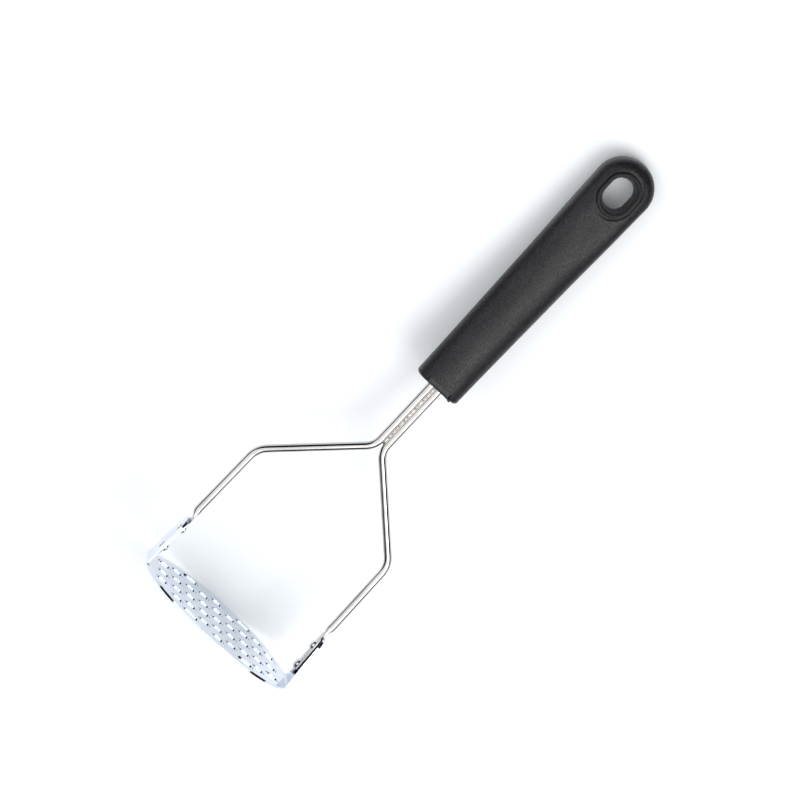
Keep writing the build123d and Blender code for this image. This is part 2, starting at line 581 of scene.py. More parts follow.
@dataclass(frozen=True)
class MouldedPlastic(Finish):
    """Dark moulded plastic.

    Args:
        name: the material's name.
        dark: main colour.
        worn_and_glint: colour of its rubbed patches and of the lighter flecks painted into its colour as
            glints of its grain.
        gloss: lowest and highest roughness.
        pebble: bumps to the metre of its moulded texture.
        relief: height of that texture, in millimetres.
        shine: level of its mirror-like reflection.
    """

    name: str
    dark: tuple[float, float, float]
    worn_and_glint: tuple[float, float, float]
    gloss: tuple[float, float]
    pebble: float
    relief: float
    shine: float = 0.3

    def surface(self, bench: NodeBench) -> Signal:
        """Fine spark-eroded texture, flow marks along the part, slightly rubbed patches, and lighter flecks
        painted into the colour as glints of the grain.
        """
        place = self.place(bench)
        flow = bench.noise(self.place(bench, Grain.FLOW.value), 160.0, 4.0, 0.6)
        rubbed = (0.6 * flow + 0.4 * bench.noise(place, 620.0, 3.0, 0.55)).ramp(0.42, 0.66)
        grains = bench.noise(place, self.pebble, 2.0, 0.6)
        # painted glints: lighter base-colour flecks from the grain pattern stand in for the sparkle of the
        # grain's highlight; the rubbed share is wear
        wear_and_painted_glints = 0.3 * rubbed + 0.7 * grains.ramp(0.40, 0.62)
        low, high = self.gloss
        sockets = {
            "Base Color": self.blend(bench, wear_and_painted_glints, self.dark, self.worn_and_glint),
            "Roughness": high - (high - low) * wear_and_painted_glints,
            "Specular IOR Level": self.shine,
            "Normal": self.bump(bench, 0.75 * grains + 0.25 * flow, self.relief, 1.0),
        }
        return bench.node("ShaderNodeBsdfPrincipled", None, sockets)


@dataclass(frozen=True)
class Floor(Finish):
    """Plain pale table top."""

    name: str = "pale_table"
    colour: tuple[float, float, float] = (0.93, 0.945, 0.96)

    def surface(self, bench: NodeBench) -> Signal:
        """A matt pale surface."""
        sockets = {"Base Color": (*self.colour, 1.0), "Roughness": 0.9, "Specular IOR Level": 0.2}
        return bench.node("ShaderNodeBsdfPrincipled", None, sockets)


PLATE_STEEL = Steel(
    "plate_steel", (0.69, 0.75, 0.84), (0.62, 0.69, 0.79), (0.06, 0.13), Grain.ACROSS, 1500.0
)
WIRE_STEEL = Steel(
    "wire_steel", (0.56, 0.54, 0.52), (0.47, 0.45, 0.44), (0.06, 0.12), Grain.ALONG, 2200.0, 0.003
)
RIVET_STEEL = Steel(
    "rivet_steel", (0.84, 0.84, 0.85), (0.66, 0.67, 0.69), (0.08, 0.22), Grain.EVEN, 1600.0, 0.006
)
WELD_STEEL = Steel(
    "weld_steel", (0.60, 0.58, 0.56), (0.40, 0.38, 0.36), (0.24, 0.40), Grain.EVEN, 1800.0, 0.02
)
GRIP_PLASTIC = MouldedPlastic(
    "grip_plastic", (0.0045, 0.0042, 0.0052), (0.0205, 0.0190, 0.0225), (0.27, 0.42), 1500.0, 0.22
)
CORE_PLASTIC = MouldedPlastic(
    "core_plastic", (0.022, 0.022, 0.024), (0.036, 0.036, 0.040), (0.34, 0.44), 900.0, 0.03
)
EYELET_PLASTIC = MouldedPlastic(
    "eyelet_plastic", (0.006, 0.006, 0.007), (0.010, 0.010, 0.012), (0.30, 0.40), 1300.0, 0.03, 0.17
)


# ------------------------------------------------------------------ shared mesh work


@dataclass
class Piece:
    """A finished piece of the masher.

    Args:
        name: the piece's name.
        mesh: its mesh, in the tool's own axes.
        finish: what it is made of.
        slot: the name of the record's material slot that matches it; it is only logged, the finish comes from
            finish.
        stands_for: the CAD nodes that it replaces.
        crease: angle in degrees above which an edge stays sharp.
    """

    name: str
    mesh: bpy.types.Mesh
    finish: Finish
    slot: str
    stands_for: tuple[str, ...] = ()
    crease: float = 40.0

    def install(self) -> None:
        check_solid(self.name, self.mesh)
        self.mesh.transform(TOOL.matrix)
        self.mesh.name = self.name
        self.mesh.materials.clear()
        self.mesh.materials.append(self.finish.material())
        self.mesh.polygons.foreach_set("material_index", [0] * len(self.mesh.polygons))
        self.mesh.polygons.foreach_set("use_smooth", [True] * len(self.mesh.polygons))
        self.mesh.set_sharp_from_angle(angle=radians(self.crease))
        self.mesh.update()
        thing = placed(self.name, self.mesh)
        if self.stands_for:
            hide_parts(*self.stands_for)
        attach(thing, "root")
        LOG.info("%s: %d faces, slot %s", self.name, len(self.mesh.polygons), self.slot)


def check_solid(name: str, mesh: bpy.types.Mesh) -> None:
    """Stop the script if a mesh has a place that isn't a number, or isn't closed.

    Args:
        name: the piece's name, for the message.
        mesh: the mesh to test.
    """
    work = bmesh.new()
    work.from_mesh(mesh)
    lost = sum(not all(isfinite(value) for value in vert.co) for vert in work.verts)
    open_edges = sum(len(edge.link_faces) != 2 for edge in work.edges)
    work.free()
    if lost or open_edges:
        raise ValueError(f"{name}: {lost} points without a place, {open_edges} open edges")


def clean(mesh: bpy.types.Mesh, distance: float = 1e-6) -> bpy.types.Mesh:
    """Merge doubles and turn every face outwards.

    Args:
        mesh: the mesh to clean.
        distance: how near two points are merged, in metres.

    Returns:
        The same mesh.
    """
    work = bmesh.new()
    work.from_mesh(mesh)
    bmesh.ops.remove_doubles(work, verts=work.verts, dist=distance)
    bmesh.ops.recalc_face_normals(work, faces=work.faces)
    work.to_mesh(mesh)
    work.free()
    return mesh


def modified(mesh: bpy.types.Mesh, name: str, *steps: tuple[str, dict[str, Any]]) -> bpy.types.Mesh:
    """Run modifiers on a mesh and keep the result.

    Args:
        mesh: the mesh to start from.
        name: name of the result.
        steps: type and settings of each modifier, in order.

    Returns:
        The finished mesh.
    """
    holder = placed(f"{name}.holder", mesh)
    for kind, settings in steps:
        modifier = holder.modifiers.new(kind, kind)
        for key, value in settings.items():
            setattr(modifier, key, value)
    result = evaluated_mesh(holder, name)
    bpy.data.objects.remove(holder)
    return result


def loops_mesh(name: str, loops: Sequence[Sequence[Vector]], close_round: bool = False) -> bpy.types.Mesh:
    """A closed skin over a row of equally divided loops.

    Args:
        name: the mesh's name.
        loops: the loops, each with the same number of points.
        close_round: whether the last loop joins the first; if not, the two ends are capped.

    Returns:
        The mesh, with its faces outwards.
    """
    count = len(loops[0])
    points = [tuple(point) for loop in loops for point in loop]
    spans = len(loops) if close_round else len(loops) - 1
    faces = []
    for i in range(spans):
        near, far = i * count, (i + 1) % len(loops) * count
        for j in range(count):
            k = (j + 1) % count
            faces.append((near + j, near + k, far + k, far + j))
    if not close_round:
        faces.append(tuple(range(count - 1, -1, -1)))
        faces.append(tuple(range((len(loops) - 1) * count, len(loops) * count)))
    mesh = bpy.data.meshes.new(name)
    mesh.from_pydata(points, [], faces)
    return clean(mesh)


def stadium(length: float, width: float, count: int) -> list[tuple[float, float]]:
    """Points round a slot shape whose length runs along y.

    Args:
        length: length over all.
        width: width over all.
        count: number of points, a multiple of four.

    Returns:
        x and y of each point.
    """
    radius = width / 2
    shift = length / 2 - radius
    points = []
    for i in range(count):
        angle = 2 * pi * (i + 0.5) / count
        x, y = cos(angle), sin(angle)
        points.append((x * radius, y * radius + (shift if y > 0 else -shift)))
    return points


def squared_loop(along: float, wide: float, thick: float, power: float, count: int) -> list[Vector]:
    """A loop square to the tool: an ellipse at power 2, nearly a rectangle at power 10.

    Args:
        along: its place along the tool.
        wide: its half width.
        thick: its half thickness.
        power: how square it is.
        count: number of points.

    Returns:
        The loop's points in metres.
    """
    share = 2 / power
    loop = []
    for i in range(count):
        angle = 2 * pi * i / count
        x, z = cos(angle), sin(angle)
        x = (1 if x > 0 else -1) * abs(x) ** share * wide
        z = (1 if z > 0 else -1) * abs(z) ** share * thick
        loop.append(Vector((x, along, z)) * MM)
    return loop


# ------------------------------------------------------------------ mashing plate


@dataclass
class MashingPlate:
    """The perforated disc with its two folded-up tabs, punched and bent from one sheet.

    The short edges that the fold cuts leave hold the edge rounding to just under its value.
    """

    radius: float = 40.98
    sheet: float = 1.0
    tab_face_x: float = 40.4
    tab_lean: float = 2.7
    tab_height: float = 26.3
    tab_foot_width: float = 17.6
    tab_shoulder_width: float = 12.6
    notch_width: float = 0.9
    notch_flare: float = 0.25
    notch_run: float = 0.5
    bend_radius: float = 1.0
    hole_radius: float = 3.3
    hole_step: float = 7.65
    slot_length: float = 9.4
    rim_points: int = 160
    edge_rounding: float = 0.03

    @property
    def fold_x(self) -> float:
        """Where a tab's fold starts."""
        return self.tab_face_x - self.sheet - self.bend_radius

    @property
    def fold_turn(self) -> float:
        """How far a tab is folded, in radians."""
        return radians(90 + self.tab_lean)

    @property
    def fold_length(self) -> float:
        """Length of sheet that a fold takes up."""
        return self.fold_turn * (self.bend_radius + self.sheet / 2)

    @property
    def ear_end(self) -> float:
        """Where a tab ends on the flat blank."""
        foot = self.bend_radius + self.sheet - (self.bend_radius + self.sheet / 2) * cos(self.fold_turn)
        return self.fold_x + self.fold_length + (self.tab_height - foot) / sin(self.fold_turn)

    def blank_outline(self) -> list[tuple[float, float, float]]:
        """Outline of the flat blank: the disc's rim, and an ear on each side.

        Returns:
            Points in order, in metres.
        """
        half_foot = self.tab_foot_width / 2
        start = asin((half_foot + self.notch_width) / self.radius)
        rim = [start + (pi - 2 * start) * i / self.rim_points for i in range(self.rim_points + 1)]
        top = [(self.radius * cos(angle), self.radius * sin(angle)) for angle in rim]
        arc = self.tab_shoulder_width / 2
        arc_x = self.ear_end - arc
        edge = [
            (-self.fold_x, half_foot + self.notch_flare),
            (-self.fold_x - self.notch_run, half_foot),
            (-self.fold_x - self.fold_length, half_foot),
        ]
        arc_steps = 24
        turns = [pi * i / arc_steps for i in range(arc_steps + 1)]
        ear = edge + [(-arc_x - arc * sin(turn), arc * cos(turn)) for turn in turns]
        ear += [(x, -y) for x, y in reversed(edge)]
        half = top + ear
        outline = half + [(-x, -y) for x, y in half]
        return [(x * MM, y * MM, 0.0) for x, y in outline]

    def punching_tree(self) -> GeometryTree:
        """Punches the holes in the blank and gives it its thickness.

        Returns:
            The tree; its base is the blank's outline.
        """
        tree = GeometryTree(
            "punched_blank",
            {
                "Hole step": self.hole_step * MM,
                "Hole radius": self.hole_radius * MM,
                "Slot length": self.slot_length * MM,
                "Sheet": self.sheet * MM,
            },
            PLATE_STEEL.material(),
        )
        step, radius = tree.given("Hole step"), tree.given("Hole radius")
        rows = 9
        grid_size = (rows - 1) * step
        sockets = {"Size X": grid_size, "Size Y": grid_size, "Vertices X": rows, "Vertices Y": rows}
        grid = tree.node("GeometryNodeMeshGrid", None, sockets)
        x, y, _ = tree.parts(tree.position())
        odd = (x / step + y / step + (2 * rows + 0.5)) % 2.0 > 1.0
        reach = tree.vector_maths("LENGTH", tree.position(), output=1) / step
        outer_ring, margin = sqrt(2**2 + 4**2), 0.1
        left_out = odd.maths("MAXIMUM", reach > outer_ring + margin)
        sockets = {"Geometry": grid, "Selection": left_out}
        kept = tree.node("GeometryNodeDeleteGeometry", {"domain": "POINT"}, sockets)
        in_ring = reach > outer_ring - margin
        holes = tree.instances(kept, tree.circle(radius, 36), Selection=1 - in_ring)
        sockets = {"Width": tree.given("Slot length"), "Height": 2 * radius}
        oblong = tree.node("GeometryNodeCurvePrimitiveQuadrilateral", None, sockets)
        just_under = 0.998
        sockets = {"Curve": oblong, "Count": 9, "Radius": radius * just_under}
        slot_shape = tree.node("GeometryNodeFilletCurve", {"mode": "POLY"}, sockets)
        turn = tree.vector(0.0, 0.0, y.maths("ARCTAN2", x) + pi / 2)
        slots = tree.instances(kept, slot_shape, Selection=in_ring, Rotation=turn)
        cuts = tree.realized(tree.joined(slots, holes))
        outlines = tree.joined(cuts, tree.curve())
        filled = tree.node("GeometryNodeFillCurve", {"mode": "TRIANGLES"}, {"Curve": outlines})
        sockets = {"Mesh": filled, "Offset Scale": tree.given("Sheet"), "Individual": False}
        raised = tree.node("GeometryNodeExtrudeMesh", {"mode": "FACES"}, sockets)
        back = tree.node("GeometryNodeFlipFaces", None, {0: filled})
        sockets = {"Geometry": tree.joined(raised, back), "Distance": 1e-6}
        tree.finish(tree.node("GeometryNodeMergeByDistance", None, sockets))
        return tree

    def folded(self, blank: bpy.types.Mesh) -> bpy.types.Mesh:
        """Fold the blank's ears up into tabs.

        Args:
            blank: the flat punched sheet, its thickness along z.

        Returns:
            The folded plate in the tool's own axes.
        """
        work = bmesh.new()
        work.from_mesh(blank)
        fold_steps = 10
        nearly_on_cut = 0.02 * MM
        cuts = [self.fold_x + self.fold_length * i / fold_steps for i in range(fold_steps + 1)]
        for x in cuts:
            for sign in (-1, 1):
                bmesh.ops.bisect_plane(
                    work,
                    geom=work.verts[:] + work.edges[:] + work.faces[:],
                    dist=nearly_on_cut,
                    plane_co=(sign * x * MM, 0, 0),
                    plane_no=(1, 0, 0),
                )
        bmesh.ops.dissolve_degenerate(work, edges=work.edges[:], dist=nearly_on_cut / 2)
        low = min(vert.co.z for vert in work.verts)
        for vert in work.verts:
            vert.co = self.fold_point(vert.co.x / MM, vert.co.y / MM, (vert.co.z - low) / MM) * MM
        bmesh.ops.recalc_face_normals(work, faces=work.faces)
        work.to_mesh(blank)
        work.free()
        return blank

    def fold_point(self, x: float, y: float, depth: float) -> Vector:
        """Where a point of the flat blank goes.

        Args:
            x: place across the tool on the blank.
            y: place up the tool.
            depth: height above the mashing face, inside the sheet.

        Returns:
            The point in the tool's own axes, in millimetres.
        """
        past = abs(x) - self.fold_x
        if past <= 0:
            return Vector((x, depth, -y))
        turn = min(past / self.fold_length, 1.0) * self.fold_turn
        rest = max(past - self.fold_length, 0.0)
        reach = self.bend_radius + self.sheet - depth
        out = self.fold_x + reach * sin(turn) + rest * cos(turn)
        along = self.bend_radius + self.sheet - reach * cos(turn) + rest * sin(turn)
        return Vector((out if x > 0 else -out, along, -y))

    def inner_face(self, side: Side, height: float, depth: float = 0.0) -> Vector:
        """A point on a tab's inner face, on its middle line.

        Args:
            side: which tab.
            height: distance up the tab.
            depth: distance inwards from its inner face.

        Returns:
            The point in the tool's own axes, in millimetres.
        """
        tilt = radians(self.tab_lean)
        inset = self.sheet + depth
        x = self.tab_face_x - inset * cos(tilt) - height * sin(tilt)
        return Vector((side.value * x, height * cos(tilt) - inset * sin(tilt), 0.0))

    def inward(self, side: Side) -> Vector:
        """Direction square to a tab's inner face."""
        tilt = radians(self.tab_lean)
        return Vector((-side.value * cos(tilt), -sin(tilt), 0.0))

    def build(self) -> list[Piece]:
        """Punch, fold and round the plate."""
        outline = outline_mesh("blank_outline", self.blank_outline(), closed=True)
        sheet = self.folded(self.punching_tree().make("mashing_plate_sheet", outline))
        rounding = {
            "width": self.edge_rounding * MM,
            "segments": 2,
            "limit_method": "ANGLE",
            "angle_limit": radians(50),
            "use_clamp_overlap": True,
        }
        plate = clean(modified(sheet, "mashing_plate_body", ("BEVEL", rounding)), 1e-8)
        return [Piece("perforated_plate", plate, PLATE_STEEL, "plate_steel", ("mashing_plate",), 16.0)]


# ------------------------------------------------------------------ wires, rivets and welds


@dataclass
class WireFrame:
    """The two bent wires, the rivets that hold their flattened ends and the weld between them."""

    plate: MashingPlate
    wire_radius: float = 1.75
    gap: float = 0.44
    split_height: float = 101.5
    shoulder_height: float = 67.0
    shoulder_x: float = 37.7
    neck_x: float = 38.3
    neck_height: float = 31.5
    split_bend: float = 9.0
    shoulder_bend: float = 10.5
    neck_bend: float = 6.0
    tail_end: float = 199.0
    paddle_half_width: float = 3.8
    paddle_thickness: float = 1.1
    paddle_foot: float = 5.2
    paddle_top: float = 26.6
    rivet_heights: tuple[float, float] = (10.0, 20.7)
    rivet_head_radius: float = 2.4
    rivet_head_height: float = 1.3
    outer_head_radius: float = 2.3
    outer_head_height: float = 0.45
    weld_span: tuple[float, float] = (106.5, 135.0)

    @property
    def tail_x(self) -> float:
        """How far each wire lies from the middle where they run side by side."""
        return self.wire_radius + self.gap / 2

    def route(self, side: Side) -> tuple[list[Vector], list[float]]:
        """Corners of a wire's middle line, from its flattened end to its tail.

        Args:
            side: which wire.

        Returns:
            The corners in millimetres and the bend radius at each.
        """
        half = self.paddle_thickness / 2
        places = [self.plate.inner_face(side, height, half) for height in (self.paddle_foot, self.paddle_top)]
        for x, along in (
            (self.neck_x, self.neck_height),
            (self.shoulder_x, self.shoulder_height),
            (self.tail_x, self.split_height),
            (self.tail_x, self.tail_end),
        ):
            places.append(Vector((side.value * x, along, 0.0)))
        return places, [0.0, self.neck_bend, self.neck_bend, self.shoulder_bend, self.split_bend, 0.0]

    def wire_tree(self) -> GeometryTree:
        """Bends a wire round its route and flattens its first end into a paddle.

        Returns:
            The tree; its base is the route's chain of corners.
        """
        tree = GeometryTree(
            "bent_wire",
            {
                "Wire radius": self.wire_radius * MM,
                "Paddle half width": self.paddle_half_width * MM,
                "Paddle half thickness": self.paddle_thickness / 2 * MM,
                "Paddle length": (self.paddle_top - self.paddle_foot) * MM,
            },
            WIRE_STEEL.material(),
        )
        radius, length = tree.given("Wire radius"), tree.given("Paddle length")
        sockets = {"Curve": tree.curve(), "Count": 16, "Radius": tree.stored("bend"), "Limit Radius": True}
        bent = tree.node("GeometryNodeFilletCurve", {"mode": "POLY"}, sockets)
        sockets = {"Curve": bent, "Length": 0.5 * MM}
        even = tree.node("GeometryNodeResampleCurve", {"mode": "LENGTH"}, sockets)
        distance = tree.node("GeometryNodeSplineParameter", None, None, "Length")
        marked = tree.with_stored(even, "distance", distance)
        centred = tree.with_stored(marked, "middle", tree.position(), "FLOAT_VECTOR")
        plain = tree.node("GeometryNodeSetCurveRadius", None, {"Curve": centred, "Radius": 1.0})
        sockets = {"Curve": plain, "Profile Curve": tree.circle(radius, 32), "Fill Caps": True}
        tube = tree.node("GeometryNodeCurveToMesh", None, sockets)
        run = tree.stored("distance") / length
        middle = tree.stored("middle", "FLOAT_VECTOR")
        off = tree.vector_maths("SUBTRACT", tree.position(), middle)
        off_x, off_y, off_z = tree.parts(off)
        flat = tree.vector(off_x, off_y, 0.0)
        flat_length = tree.vector_maths("LENGTH", flat, output=1)
        squeeze = run.ramp(1.03, 1.20, 1.0, 0.0)
        spread = run.ramp(0.72, 1.17, 1.0, 0.0)
        half_width = radius + (tree.given("Paddle half width") - radius) * spread
        half_thick = radius + (tree.given("Paddle half thickness") - radius) * squeeze
        tip = run * length / half_width
        inside = 1 - (1 - tip.maths("MINIMUM", 1.0)) ** 2.0
        rounded_end = inside.maths("MAXIMUM", 0.001).maths("SQRT")
        share_x = (flat_length / radius).maths("MINIMUM", 1.0)
        share_z = (off_z / radius).maths("ABSOLUTE")
        thick = half_thick * share_x ** (1 - 0.55 * squeeze)
        wide = half_width * rounded_end * share_z ** (1 - 0.15 * squeeze)
        scale_flat = thick / flat_length.maths("MAXIMUM", 1e-7)
        shaped = tree.vector(off_x * scale_flat, off_y * scale_flat, wide * off_z.maths("SIGN"))
        tree.finish(tree.moved(tube, Position=tree.vector_maths("ADD", middle, shaped)))
        return tree

    def head_tree(self, radius: float, height: float, flat: float, out: Vector) -> GeometryTree:
        """Sets a domed head on every point of its base, square to a tab.

        Args:
            radius: the heads' radius, in millimetres.
            height: their height, in millimetres.
            flat: how much of their top is flat, from 0 to 1.
            out: the way they point.

        Returns:
            The tree.
        """
        sizes = {"Head radius": radius * MM, "Head height": height * MM, "Flat share": flat, "Out": out}
        tree = GeometryTree("rivet_heads", sizes, RIVET_STEEL.material())
        ball = tree.node("GeometryNodeMeshUVSphere", None, {"Segments": 40, "Rings": 24, "Radius": 1.0})
        x, y, z = tree.parts(tree.position())
        level = (z.maths("MAXIMUM", 0.0) / (1 - tree.given("Flat share"))).maths("MINIMUM", 1.0)
        wide = tree.given("Head radius")
        domed = tree.vector(x * wide, y * wide, level * tree.given("Head height"))
        dome = tree.moved(ball, Position=domed)
        facing = tree.node("FunctionNodeAlignRotationToVector", {"axis": "Z"}, {"Vector": tree.given("Out")})
        tree.finish(tree.instances(tree.given("Geometry"), dome, Rotation=facing))
        return tree

    def heads(self, side: Side) -> bpy.types.Mesh:
        """The heads of one side's rivets, on both faces of the joint.

        Args:
            side: which side.

        Returns:
            One mesh of all the heads.
        """
        inward = self.plate.inward(side)
        sunk = 0.02
        kinds = (
            (self.paddle_thickness - sunk, self.rivet_head_radius, self.rivet_head_height, 0.12, inward),
            (-self.plate.sheet + sunk, self.outer_head_radius, self.outer_head_height, 0.45, -inward),
        )
        work = bmesh.new()
        for depth, *shape in kinds:
            seats = [self.plate.inner_face(side, place, depth) * MM for place in self.rivet_heights]
            work.from_mesh(self.head_tree(*shape).make("rivet_part", outline_mesh("rivet_seats", seats)))
        bmesh.ops.remove_doubles(work, verts=work.verts, dist=1e-7)
        mesh = bpy.data.meshes.new(f"{side.word}_rivet_heads")
        work.to_mesh(mesh)
        work.free()
        return mesh

    def weld_tree(self) -> GeometryTree:
        """Lays overlapping ragged beads along the gap between the wires.

        Returns:
            The tree; its base is the gap's middle line.
        """
        tree = GeometryTree(
            "weld_beads",
            {"Bead spacing": 2.3 * MM, "Bead width": 0.62 * MM, "Bead height": 0.92 * MM, "Seed": 7},
            WELD_STEEL.material(),
        )
        width, spacing, height = (tree.given(f"Bead {size}") for size in ("width", "spacing", "height"))
        sockets = {"Curve": tree.curve(), "Length": spacing}
        seats = tree.node("GeometryNodeCurveToPoints", {"mode": "LENGTH"}, sockets)
        ball = tree.node("GeometryNodeMeshIcoSphere", None, {"Radius": 1.0, "Subdivisions": 4})
        size = tree.drawn(0.75, 1.15)
        bead = tree.vector(width * size, spacing * size, height * size)
        beads = tree.realized(tree.instances(seats, ball, Scale=bead))
        tree.finish(tree.crumpled(beads, 900.0, 3.0, 0.3 * MM))
        return tree

    def build(self) -> list[Piece]:
        """Make both wires, their rivet heads and the weld."""
        pieces = []
        for side in Side:
            word = side.word
            corners, bends = self.route(side)
            places = [corner * MM for corner in corners]
            chain = outline_mesh(f"{word}_route", places, bends=[bend * MM for bend in bends])
            wire = clean(self.wire_tree().make(f"{word}_wire_body", chain), 1e-8)
            pieces.append(Piece(f"{word}_bent_wire", wire, WIRE_STEEL, "wire_steel", (f"{word}_wire",)))
            name, heads = f"{word}_rivet_heads", self.heads(side)
            pieces.append(Piece(name, heads, RIVET_STEEL, "rivet_steel", (f"{word}_rivets",)))
        gap = outline_mesh("weld_line", [(0, place * MM, 0) for place in self.weld_span])
        beads = clean(self.weld_tree().make("weld_bead_body", gap), 1e-8)
        pieces.append(Piece("weld_between_wires", beads, WELD_STEEL, "weld_steel", ("wire_welds",)))
        return pieces


# ------------------------------------------------------------------ handle


@dataclass
class Handle:
    """The moulded grip with its core and the eyelet of its hanging hole."""

    tip: float = 264.95
    mouth: float = 137.0
    mouth_width: float = 21.8
    tip_radius: float = 13.2
    half_thickness: float = 7.5
    domed_power: float = 2.15
    eyelet_power: float = 3.3
    mouth_power: float = 2.6
    tip_power: float = 3.4
    mouth_rounding: float = 1.5
    collar_width: float = 12.4
    collar_length: float = 2.6
    collar_half: float = 6.9
    eyelet_place: float = 248.8
    flange_width: float = 16.4
    flange_length: float = 22.7
    flange_thickness: float = 1.6
    groove: float = 0.35
    sleeve_wall: float = 1.2
    mouth_hole: tuple[float, float] = (12.7, 16.8)
    waist_hole: tuple[float, float] = (10.2, 13.2)
    around: int = 96

    def half_width(self, along: float) -> float:
        """Half of the grip's width at a place along it, up to where its tip's arc starts."""
        start = self.tip - self.tip_radius
        share = (along - self.mouth) / (start - self.mouth)
        return self.mouth_width / 2 + (self.tip_radius - self.mouth_width / 2) * min(share, 1.0)

    def section_power(self, along: float) -> float:
        """How square the grip's section is: domed in the hand, flatter at the mouth and round the eyelet."""
        power = self.domed_power
        for start, end, target in ((205.0, 236.0, self.eyelet_power), (152.0, self.mouth, self.mouth_power)):
            share = min(max((along - start) / (end - start), 0.0), 1.0)
            power += (target - power) * share * share * (3 - 2 * share)
        return power

    def section(self, along: float, wide: float, thick: float) -> list[Vector]:
        """A loop round the grip, from its half width and half thickness."""
        return squared_loop(along, wide, thick, self.section_power(along), self.around)

    def grip_loops(self) -> list[list[Vector]]:
        """Loops of the whole grip, from its mouth to its tip."""
        loops = []
        rounding_steps = 6
        for i in range(rounding_steps + 1):
            turn = pi / 2 * i / rounding_steps
            inset = self.mouth_rounding * (1 - sin(turn))
            along = self.mouth + self.mouth_rounding * (1 - cos(turn))
            loops.append(self.section(along, self.half_width(along) - inset, self.half_thickness - inset))
        body_steps = 90
        start, end = self.mouth + self.mouth_rounding, self.tip - self.tip_radius
        for i in range(1, body_steps + 1):
            along = start + (end - start) * i / body_steps
            loops.append(self.section(along, self.half_width(along), self.half_thickness))
        tip_steps, end_flat = 40, 0.6
        for i in range(1, tip_steps + 1):
            share = sin(pi / 2 * i / (tip_steps + end_flat))
            wide = self.tip_radius * sqrt(1 - share**2)
            thick = self.half_thickness * (1 - share**self.tip_power) ** (1 / self.tip_power)
            loops.append(self.section(end + self.tip_radius * share, wide, thick))
        return loops

    @staticmethod
    def prism(
        name: str, outline: Sequence[tuple[float, float]], low: float, high: float
    ) -> bpy.types.Mesh:
        """A straight-sided cutter, square to the tool's top.

        Args:
            name: the cutter's name.
            outline: x and along of its corners, in millimetres.
            low: where it starts.
            high: where it ends.

        Returns:
            The cutter.
        """
        ends = [[Vector((x, along, up)) * MM for x, along in outline] for up in (low, high)]
        return loops_mesh(name, ends)

    def slot_outline(self, length: float, width: float) -> list[tuple[float, float]]:
        """Outline of a slot round the hanging hole's middle."""
        return [(x, y + self.eyelet_place) for x, y in stadium(length, width, self.around)]

    @staticmethod
    def cut(body: bpy.types.Mesh, cutters: Sequence[bpy.types.Mesh]) -> bpy.types.Mesh:
        """Take the cutters out of a body.

        Args:
            body: what is cut.
            cutters: what is taken out.

        Returns:
            The cut body.
        """
        for cutter in cutters:
            tool = placed(cutter.name, cutter)
            settings = {"operation": "DIFFERENCE", "solver": "EXACT", "object": tool}
            body = modified(body, "cut_body", ("BOOLEAN", settings))
            bpy.data.objects.remove(tool)
        return body

    def grip(self) -> bpy.types.Mesh:
        """The outer moulding, with the eyelet's pocket and the notch at its mouth."""
        top = self.half_thickness
        half = self.collar_width / 2
        groove, wall = 2 * self.groove, 2 * self.sleeve_wall
        hole_width, hole_length = self.mouth_hole
        wide_slot = self.slot_outline(self.flange_length + groove, self.flange_width + groove)
        sleeve = self.slot_outline(hole_length + wall, hole_width + wall)
        outside, inside = self.mouth - 1, self.mouth + self.collar_length
        notch = [(-half, outside), (half, outside), (half, inside), (-half, inside)]
        depth = self.flange_thickness
        cutters = [
            self.prism("sleeve_cutter", sleeve, -2 * top, 2 * top),
            self.prism("upper_flange_cutter", wide_slot, top - depth, 2 * top),
            self.prism("lower_flange_cutter", wide_slot, -2 * top, depth - top),
            self.prism("notch_cutter", notch, -2 * top, 2 * top),
        ]
        return self.cut(loops_mesh("grip_body", self.grip_loops()), cutters)

    def eyelet(self) -> bpy.types.Mesh:
        """The oval liner: a rounded flange on each face and a hole that narrows to its waist."""
        top = self.half_thickness
        under = top - self.flange_thickness
        outer, hole, waist = self.flange_width / 2, self.mouth_hole[0] / 2, self.waist_hole[0] / 2
        bulge = (outer - hole) / 2
        crest, waist_half = top - 0.05, 0.5
        half_profile = [(waist, 0.0), (waist, waist_half)]
        for share in (0.25, 0.5, 0.75, 1.0):
            half_profile.append((waist + (hole - 0.25 - waist) * share, waist_half + (top - 1.9) * share))
        roll_steps, roll_depth, roll_power = 14, 0.34, 0.6
        for i in range(roll_steps + 1):
            turn = pi * (1 - i / roll_steps)
            up = crest - bulge * roll_depth * (1 - sin(turn) ** roll_power)
            half_profile.append((hole + bulge + bulge * cos(turn), up))
        half_profile += [(outer, under), (hole + self.sleeve_wall, under)]
        profile = half_profile + [(reach, -up) for reach, up in reversed(half_profile)]
        straight = (self.mouth_hole[1] - self.mouth_hole[0]) / 2
        loops = []
        for reach, up in profile:
            ring = self.slot_outline(2 * (straight + reach), 2 * reach)
            loops.append([Vector((x, y, up)) * MM for x, y in ring])
        return loops_mesh("eyelet_body", loops, close_round=True)

    def core(self) -> bpy.types.Mesh:
        """What shows of the core: its collar in the notch at the grip's mouth."""
        wide, thick, back = self.collar_width / 2, self.collar_half, self.mouth + self.collar_length
        rounding, rounding_steps, power = 1.3, 6, 10.0
        sizes = []
        for i in range(rounding_steps + 1):
            turn = pi / 2 * i / rounding_steps
            inset = rounding * (1 - sin(turn))
            sizes.append((self.mouth + rounding * (1 - cos(turn)), wide - 0.3 * inset, thick - inset))
        sizes += [(back - 0.02, wide, thick), (back, wide - 0.4, thick - 0.8)]
        return loops_mesh("core_body", [squared_loop(*size, power, self.around) for size in sizes])

